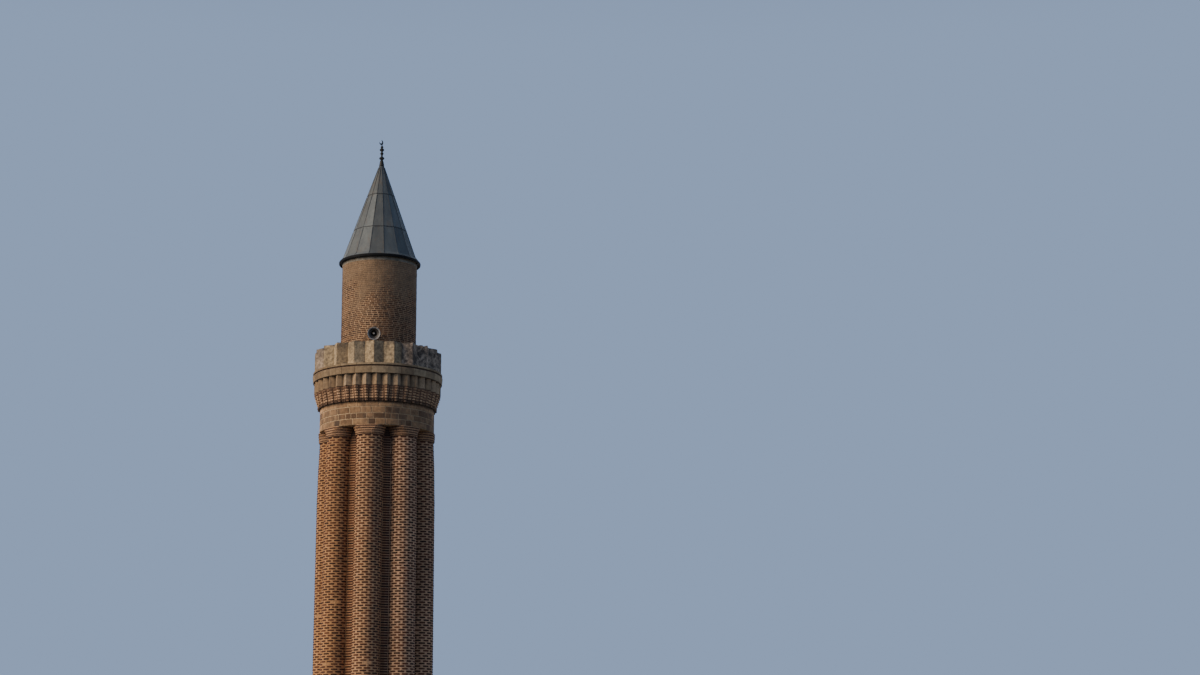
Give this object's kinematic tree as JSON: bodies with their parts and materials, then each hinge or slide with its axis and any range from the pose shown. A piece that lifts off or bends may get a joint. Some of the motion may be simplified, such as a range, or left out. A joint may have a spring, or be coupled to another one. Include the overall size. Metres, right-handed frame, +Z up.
{
  "type": "minaret",
  "caption": "Fluted brick minaret on a square stone base, with a corbelled gallery, folded stone parapet, plain upper shaft, lead cone and crescent finial.",
  "frame": {"origin": "middle of the underside of the square plinth, at ground level", "axes": "+Z up along the tower, -Y towards the front face with the entrance door, +X to the right of that face"},
  "size_m": [5.7, 5.7, 38.0238],
  "materials": {
    "base_stone": "weathered squared limestone with lime joints",
    "carved_stone": "weathered dressed limestone",
    "parapet_stone": "lichen-stained dressed limestone",
    "neck_stone": "small squared blocks in pale mortar",
    "shaft_brick": "dark red-brown bricks in wide pale mortar",
    "upper_brick": "ochre bricks in thin mortar",
    "timber": "weathered planks",
    "lead": "dull weathered lead sheet with standing seams",
    "finial_metal": "dark tarnished spun metal",
    "horn_metal": "light grey paint",
    "bracket_steel": "dull galvanised steel"
  },
  "bodies": {
    "root": {"plinth": "base_stone", "base_wall_front_left": "base_stone", "base_wall_front_right": "base_stone", "base_wall_over_door": "base_stone", "base_wall_right": "base_stone", "base_wall_back": "base_stone", "base_wall_left": "base_stone", "entrance_door": "timber", "drum_wall_front": "base_stone", "drum_wall_right": "base_stone", "drum_wall_back": "base_stone", "drum_wall_left": "base_stone", "drum_cornice": "carved_stone", "shaft_flute_1": "shaft_brick", "shaft_flute_2": "shaft_brick", "shaft_flute_3": "shaft_brick", "shaft_flute_4": "shaft_brick", "shaft_flute_5": "shaft_brick", "shaft_flute_6": "shaft_brick", "shaft_flute_7": "shaft_brick", "shaft_flute_8": "shaft_brick", "neck_ring": "neck_stone", "corbel_ring": "shaft_brick", "toothed_ring": "carved_stone", "gallery_fascia": "carved_stone", "gallery_floor": "carved_stone", "parapet_panel_1": "parapet_stone", "parapet_panel_2": "parapet_stone", "parapet_panel_3": "parapet_stone", "parapet_panel_4": "parapet_stone", "parapet_panel_5": "parapet_stone", "upper_shaft_front": "upper_brick", "upper_shaft_right": "upper_brick", "upper_shaft_left": "upper_brick", "upper_shaft_back_left": "upper_brick", "upper_shaft_back_right": "upper_brick", "upper_shaft_over_door": "upper_brick", "gallery_door": "timber", "upper_band": "carved_stone", "eaves_ring": "lead", "cone_roof": "lead", "finial": "finial_metal", "crescent": "finial_metal", "loudspeaker_horn": "horn_metal", "loudspeaker_bracket": "bracket_steel"}
  },
  "joints": []
}
